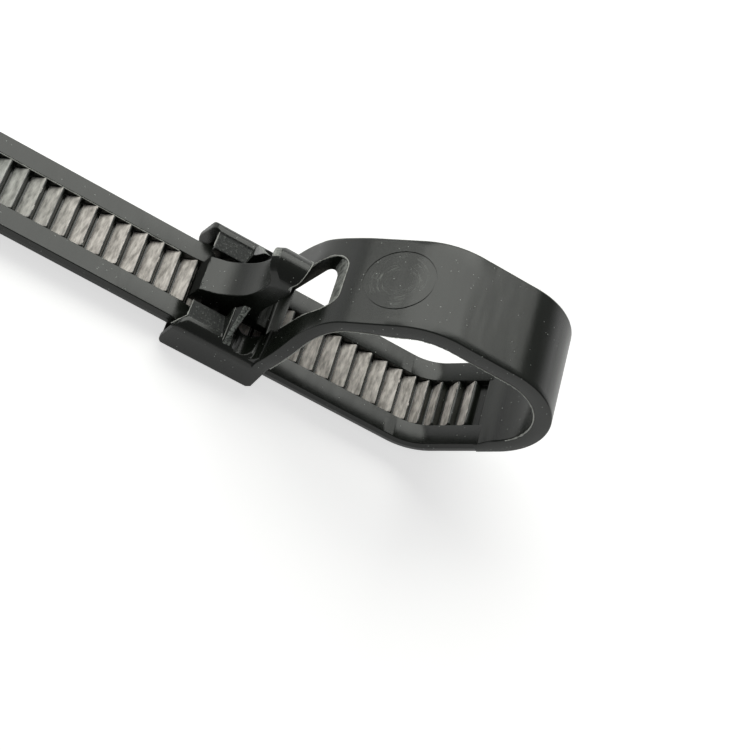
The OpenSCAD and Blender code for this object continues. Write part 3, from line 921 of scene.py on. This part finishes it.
# %% Painted highlight round the lever's end
rim_line = []
for angle in np.linspace(12, 168, 40):
    y, z = -END_R2 * polar(angle)[0], END_Z + END_R2 * polar(angle)[1]
    rim_line.append((back_x(y, z) - 0.03, y * 0.99, END_Z + (z - END_Z) * 0.99))
# painted highlight: a white line round the lever's end, where its rim catches the light
white_edge_lines.append(white_edge_line("flash_lever_rim", rim_line, 0.06, 12.0))

# %% [markdown]
# ## Nylon, as moulded
# Black nylon 6.6 is satin and a little green-grey. Colour alone makes it look like a hole in the
# picture, so each finish below adds what the eye knows it by: soft clouds, dust, hair scratches,
# fine grain. All patterns sit on Object coordinates in millimetres. A noise of scale 5 then has
# about 5 patches to a millimetre, so the scale is one over the size of a patch.

# %% Helpers for finishes
def material_tree(material):
    """An empty tree with a shader. Returns it, the shader and the place on the tie in mm."""
    material.use_nodes = True
    tree = material.node_tree
    tree.nodes.clear()
    out = add(tree, "ShaderNodeOutputMaterial")
    shader = add(tree, "ShaderNodeBsdfPrincipled", {"IOR": 1.53})
    tree.links.new(shader.outputs[0], out.inputs["Surface"])
    place = add(tree, "ShaderNodeTexCoord")
    in_mm = add(tree, "ShaderNodeVectorMath", {"operation": "SCALE", "Scale": 1 / MM},
                {0: place.outputs["Object"]})
    return tree, shader, in_mm.outputs[0]


def ramp_between(tree, source, low, high, from_min, from_max):
    """Goes from low to high while the source goes from from_min to from_max."""
    return add(tree, "ShaderNodeMapRange", {1: from_min, 2: from_max, 3: low, 4: high}, {0: source}).outputs[0]


def mix_colours(tree, factor, a, b):
    """Between two colours, each a hex code or a socket."""
    node = add(tree, "ShaderNodeMix", {"data_type": "RGBA"}, {0: factor})
    for index, value in ((6, a), (7, b)):
        if isinstance(value, str):
            node.inputs[index].default_value = colour(value)
        else:
            tree.links.new(value, node.inputs[index])
    return node.outputs[2]


def stretched(tree, mm, per_mm):
    """Patches to a millimetre along X, Y and Z, for a pattern that runs one way."""
    return add(tree, "ShaderNodeVectorMath", {"operation": "MULTIPLY", 1: per_mm}, {0: mm}).outputs[0]


def noise(tree, at, scale, detail, roughness=0.5):
    """A noise from about 0 to 1, most of it between 0.3 and 0.7."""
    return add(tree, "ShaderNodeTexNoise", {"Scale": scale, "Detail": detail, "Roughness": roughness},
               {"Vector": at}).outputs[0]


def times(tree, a, b):
    """The product of two values."""
    return add(tree, "ShaderNodeMath", {"operation": "MULTIPLY"}, {0: a, 1: b}).outputs[0]


def relief(tree, shader, height, strength, depth_mm):
    """Lets the light see the height as bumps."""
    bump = add(tree, "ShaderNodeBump", {"Strength": strength, "Distance": depth_mm * MM}, {"Height": height})
    tree.links.new(bump.outputs[0], shader.inputs["Normal"])


# %% [markdown]
# ### Plain moulded nylon
# Clouds of about 2 mm keep the large faces from looking flat. Dust specks of 0.1 mm, one in
# every half millimetre at most, give the eye the scale. The sheen changes in streaks of 0.6 by
# 4 mm across the strap, as the nylon flowed, and a grain of 0.1 mm breaks up the highlights.

# %% Clouds and dust
tree, shader, mm = material_tree(nylon)
base = mix_colours(tree, noise(tree, mm, 0.45, 3.0), "#151814", "#1e221d")
dust = add(tree, "ShaderNodeTexVoronoi", {"Scale": 2.0, "Randomness": 1.0}, {"Vector": mm})
dust_on = ramp_between(tree, dust.outputs["Distance"], 1.0, 0.0, 0.06, 0.1)
base = mix_colours(tree, dust_on, base, "#8f948f")

# %% [markdown]
# Inside the ejector ring the face is rubbed in circles. Distance and angle from the middle of
# the mark are turned into coordinates, and a noise on them, 0.17 mm wide and long around,
# draws the hair scratches. They fade at the middle, at the ring and in patches of 1.4 mm.

# %% Hair scratches inside the ring
slant_t = polar(SHOULDER_A)
mark_p = slant_top - MARK_BACK * slant_t
mark_at = (mark_p[0] + scene_x, MARK_Y, mark_p[1] + scene_z)
from_mark = add(tree, "ShaderNodeVectorMath", {"operation": "SUBTRACT", 1: mark_at}, {0: mm}).outputs[0]
along, depth = (add(tree, "ShaderNodeVectorMath", {"operation": "DOT_PRODUCT", 1: (way[0], 0, way[1])},
                    {0: from_mark}).outputs["Value"] for way in (slant_t, slant_n))
across = add(tree, "ShaderNodeSeparateXYZ", links={0: from_mark}).outputs["Y"]
flat = add(tree, "ShaderNodeCombineXYZ", links={0: along, 1: across})
radius = add(tree, "ShaderNodeVectorMath", {"operation": "LENGTH"}, {0: flat.outputs[0]}).outputs["Value"]
turn = add(tree, "ShaderNodeMath", {"operation": "ARCTAN2"}, {0: across, 1: along})
swirl_at = add(tree, "ShaderNodeCombineXYZ", links={0: radius, 1: turn.outputs[0]}).outputs[0]
swirl = noise(tree, stretched(tree, swirl_at, (6.0, 1.1, 1.0)), 1.0, 4.0, 0.7)
near = add(tree, "ShaderNodeMath", {"operation": "ABSOLUTE"}, {0: depth}).outputs[0]
inside = times(tree, ramp_between(tree, radius, 1.0, 0.0, 2.2, 2.48),
               ramp_between(tree, radius, 0.0, 1.0, 0.7, 1.3))
inside = times(tree, inside, ramp_between(tree, near, 1.0, 0.0, 0.7, 1.0))
inside = times(tree, inside, ramp_between(tree, noise(tree, mm, 0.7, 1.0), 0.0, 1.0, 0.46, 0.6))
scuff = times(tree, ramp_between(tree, swirl, 0.0, 0.5, 0.5, 0.72), inside)
base = mix_colours(tree, scuff, base, "#8d918b")
tree.links.new(base, shader.inputs["Base Color"])

# %% Sheen and grain
sheen = noise(tree, stretched(tree, mm, (1.6, 0.25, 1.6)), 1.0, 4.0)
tree.links.new(ramp_between(tree, sheen, 0.2, 0.27, 0.3, 0.7), shader.inputs["Roughness"])
relief(tree, shader, noise(tree, mm, 9.0, 3.0, 0.6), 0.25, 0.01)

# %% [markdown]
# ### Worn ramps, with painted light near the head
# Each tooth's ramp is rubbed pale in streaks that run across the strap, 0.3 mm wide and about
# 1.1 mm long. Out on the tail they are a cool grey. From about 11 mm before the head, and on into
# the loop, they are painted paler and a little warmer: painted light, for the brighter light there.

# %% Worn ramps, painted paler near the head
tree, shader, mm = material_tree(worn_and_lit_ramps)
shader.inputs["Roughness"].default_value = 0.62
streak = noise(tree, stretched(tree, mm, (3.4, 0.9, 3.4)), 1.0, 4.0, 0.6)
worn = ramp_between(tree, streak, 0.0, 1.0, 0.32, 0.66)
along = add(tree, "ShaderNodeSeparateXYZ", links={0: mm})
# painted light: from 20 to 11 mm before the head the ramps turn paler and warmer
painted_light_near_head = ramp_between(tree, along.outputs["X"], 0.0, 1.0, scene_x - 20, scene_x - 11)
base = mix_colours(tree, painted_light_near_head, mix_colours(tree, worn, "#8a8e8a", "#ccd0cb"),
                   mix_colours(tree, worn, "#9b958f", "#fbf4ed"))
tree.links.new(base, shader.inputs["Base Color"])
relief(tree, shader, streak, 0.6, 0.04)

# %% [markdown]
# ### Flash with painted highlights, and the nose in painted shade
# Thin flash turns white where it is bent; the same white also paints edge highlights. It needs no pattern: a
# line is too fine to show one.
# The nose of the pawl is dull, and painted almost black as painted shade, with a mottle of a quarter
# of a millimetre, so that it stays dark in the shade of the channel.

# %% Flash with painted highlights, and the nose in painted shade
# pale grey: flash, and painted edge highlights
tree, shader, mm = material_tree(white_flash_and_highlight)
shader.inputs["Base Color"].default_value = colour("#b4b6b0")
shader.inputs["Roughness"].default_value = 0.5
# painted shade: the pawl's nose gets a near-black colour for the shade of the channel
tree, shader, mm = material_tree(shade_dark_nylon)
shader.inputs["Roughness"].default_value = 0.8
shader.inputs["Specular IOR Level"].default_value = 0.2
nose_mottle = noise(tree, mm, 4.0, 3.0)
tree.links.new(mix_colours(tree, nose_mottle, "#0c0e0c", "#161916"), shader.inputs["Base Color"])

# %% [markdown]
# ### Three rough finishes
# One noise can draw both the pale spots and the relief under them. Torn nylon at the window's
# end wall shows pulled fibres of 0.3 by 0.8 mm that stand upright; on the lever's lip the same pale
# finish is a painted highlight. The spark-eroded tops of the cheeks have pits of 0.2 mm, and the fins
# are painted pale grey, as painted light on their tops, in a grit of 0.17 mm.

# %% Torn nylon with a painted highlight, spark-eroded nylon, and fins painted pale as painted light
def rough_nylon(material, roughness, per_mm, noise_settings, pale_from, colours, bump_settings):
    """per_mm is as in stretched. noise_settings are scale, detail and roughness. The noise goes from
    the dark to the pale colour between the two pale_from. bump_settings are strength and mm."""
    tree, shader, mm = material_tree(material)
    shader.inputs["Roughness"].default_value = roughness
    grain = noise(tree, stretched(tree, mm, per_mm), *noise_settings)
    base = mix_colours(tree, ramp_between(tree, grain, 0.0, 1.0, *pale_from), *colours)
    tree.links.new(base, shader.inputs["Base Color"])
    relief(tree, shader, grain, *bump_settings)


rough_nylon(torn_and_highlight_nylon, 0.45, (2.5, 2.5, 0.9), (1.4, 4.0, 0.65), (0.38, 0.66),
            ("#2c302c", "#a9aca6"), (0.8, 0.05))
rough_nylon(eroded_nylon, 0.5, (1, 1, 1), (5.0, 4.0, 0.75), (0.54, 0.68),
            ("#1b1f1d", "#6c716c"), (1.0, 0.08))
# painted light: the fins' tops are painted pale grey for the light they catch
rough_nylon(painted_light_fin_nylon, 0.5, (1, 1, 1), (6.0, 3.0, 0.7), (0.4, 0.68),
            ("#3a3e3a", "#b4b9b3"), (1.0, 0.06))
print("finishes:", sorted(material.name for material in bpy.data.materials))

# %% [markdown]
# ## Putting the tie together
# The pieces go from millimetres to metres and to the CAD frame's place, get their finish and
# ride on the one body. Smooth shading with normals weighted by face area keeps flats flat.

# %% Place, finish and ride
SHARP_FROM = 42     # degrees between faces, from which their edge stays crisp


def settle(obj, weighted=True):
    """Takes a piece to its place in metres, shades it smooth and lets it ride on the body."""
    move_points(obj, lambda co: (co + [scene_x, 0, scene_z]) * MM)
    obj.data.shade_smooth()
    if not obj.data.materials:
        obj.data.materials.append(nylon)
    if weighted:
        obj.data.set_sharp_from_angle(angle=math.radians(SHARP_FROM))
        mod = obj.modifiers.new("flats", "WEIGHTED_NORMAL")
        mod.weight = 100
        mod.keep_sharp = True
    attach(obj, "root")


# %% [markdown]
# Some faces have a finish of their own: the grainy tops of the cheeks, the fins painted pale as
# painted light, the lip of the lever painted grey as a painted highlight, and the nose of the pawl painted
# dark as painted shade. They are picked by where they lie and face.

# %% Faces with a finish of their own
def head_finish(c, n):
    """1 on the grainy tops of the cheeks, 2 on the fins, painted pale as painted light."""
    cheek = -2.6 < c.x < 0.34 and 2.35 < abs(c.y) < 3.9 and n.z > 0.7 and 1.3 < c.z < 1.72
    on_fin = FIN_X - 0.06 < c.x < FIN_X + FIN_T + 0.06 and c.z > CHEEK_H - 0.1 and n.z > 0.3
    return 1 if cheek else 2 if on_fin else 0


def lever_finish(c, n):
    """1 on the lip's chamfer on the far side, painted pale grey as a painted highlight. 2 on the nose, painted
    dark as painted shade.
    """
    out = (n.y * c.y + n.z * (c.z - END_Z)) / max(math.hypot(c.y, c.z - END_Z), 0.01)
    # the lip: a painted highlight in pale grey on its far half
    lip = c.z > END_Z + 0.1 and c.x < 0.6 and n.x < -0.35 and out > 0.35 and c.y > -0.15
    # the nose: painted shade
    nose = c.x < -2.55 and n.x < -0.7
    return 1 if lip else 2 if nose else 0


finish_faces(head, (nylon, eroded_nylon, painted_light_fin_nylon), head_finish)
finish_faces(lever, (nylon, torn_and_highlight_nylon, shade_dark_nylon), lever_finish)

# %% The pieces ride on the body
for piece in (front, strap, tip, ribs, head, lever):
    settle(piece)
for piece in [teeth] + white_edge_lines:
    settle(piece, weighted=False)
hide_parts("cable_tie")
for piece in [front, strap, tip, ribs, head, lever, teeth] + white_edge_lines:
    print(piece.name, len(piece.data.polygons))

# %% [markdown]
# ## Floor, light and camera
# The photograph stands on pure white. The table is pale and also glows, more for the camera than
# for the tie: so it comes out white, still shows a soft shadow, and does not light the tie grey.

# %% Floor
floor_mesh = bpy.data.meshes.new("floor")
bm = bmesh.new()
bmesh.ops.create_grid(bm, x_segments=1, y_segments=1, size=3.0)
bm.to_mesh(floor_mesh)
bm.free()
floor = new_object("floor", floor_mesh)
white = bpy.data.materials.new("white_table")
white.use_nodes = True
tree = white.node_tree
table = tree.nodes["Principled BSDF"]
table.inputs["Base Color"].default_value = colour("#dedede")
table.inputs["Roughness"].default_value = 0.9
table.inputs["Specular IOR Level"].default_value = 0.1
glow = add(tree, "ShaderNodeEmission", {"Strength": 0.64})
dark = add(tree, "ShaderNodeEmission", {"Strength": 0.35})
seen = add(tree, "ShaderNodeLightPath")
pick = add(tree, "ShaderNodeMixShader",
           links={0: seen.outputs["Is Camera Ray"], 1: dark.outputs[0], 2: glow.outputs[0]})
both = add(tree, "ShaderNodeAddShader", links={0: table.outputs[0], 1: pick.outputs[0]})
tree.links.new(both.outputs[0], tree.nodes["Material Output"].inputs["Surface"])
floor.data.materials.append(white)

# %% [markdown]
# Satin black shows its form by what it mirrors, not by its own colour. The room is dark, with one
# bright band low behind the tie, like white paper swept up at the back. It draws the light line
# along the strap's edges. A single box high up on that side gives the tops their sheen.

# %% The room
world = bpy.data.worlds.new("studio")
bpy.context.scene.world = world
world.use_nodes = True
tree = world.node_tree
room = tree.nodes["Background"]
room.inputs["Color"].default_value = (1, 1, 1, 1)
way = add(tree, "ShaderNodeTexCoord")
part_of = add(tree, "ShaderNodeSeparateXYZ", links={0: way.outputs["Generated"]})
low = ramp_between(tree, part_of.outputs["Z"], 1.0, 0.0, 0.12, 0.38)
behind = ramp_between(tree, part_of.outputs["Y"], 0.0, 1.0, 0.25, 0.6)
tree.links.new(ramp_between(tree, times(tree, low, behind), 0.16, 1.0, 0.0, 1.0), room.inputs["Strength"])

# %% The light box
light = bpy.data.lights.new("high_box", "AREA")
light.shape = "RECTANGLE"
light.size, light.size_y = 0.7, 0.4
light.energy = 2.2
light.color = (0.985, 1.0, 0.95)
high_box = new_object("high_box", light)
way = Vector((-0.25, 0.62, 0.68)).normalized()
high_box.location = Vector((scene_x * MM + 0.005, 0, 0.005)) + way * 0.5
high_box.rotation_euler = way.to_track_quat("Z", "Y").to_euler()

# %% [markdown]
# The camera was worked out from the photograph: straight edges of the tail, the pitch of the
# teeth, both edges of the loop and the ring of the ejector mark fix its place, turn and lens.

# %% Camera
right = Vector((0.84690, 0.24373, 0.47260))
up = Vector((-0.45363, 0.79488, 0.40298))
back = Vector((-0.27744, -0.55567, 0.78375))
place = Vector((-22.890 + scene_x, -70.47, 99.85 + scene_z)) * MM
camera_data = bpy.data.cameras.new("camera")
camera = new_object("camera", camera_data)
camera.matrix_world = Matrix.Translation(place) @ Matrix((right, up, back)).transposed().to_4x4()
camera_data.sensor_width = 36
camera_data.lens = 82.74
camera_data.clip_start = 0.005
bpy.context.scene.camera = camera
bpy.context.scene.view_settings.view_transform = "Standard"
print("camera at", [round(c, 3) for c in place], "m, lens", camera_data.lens, "mm")
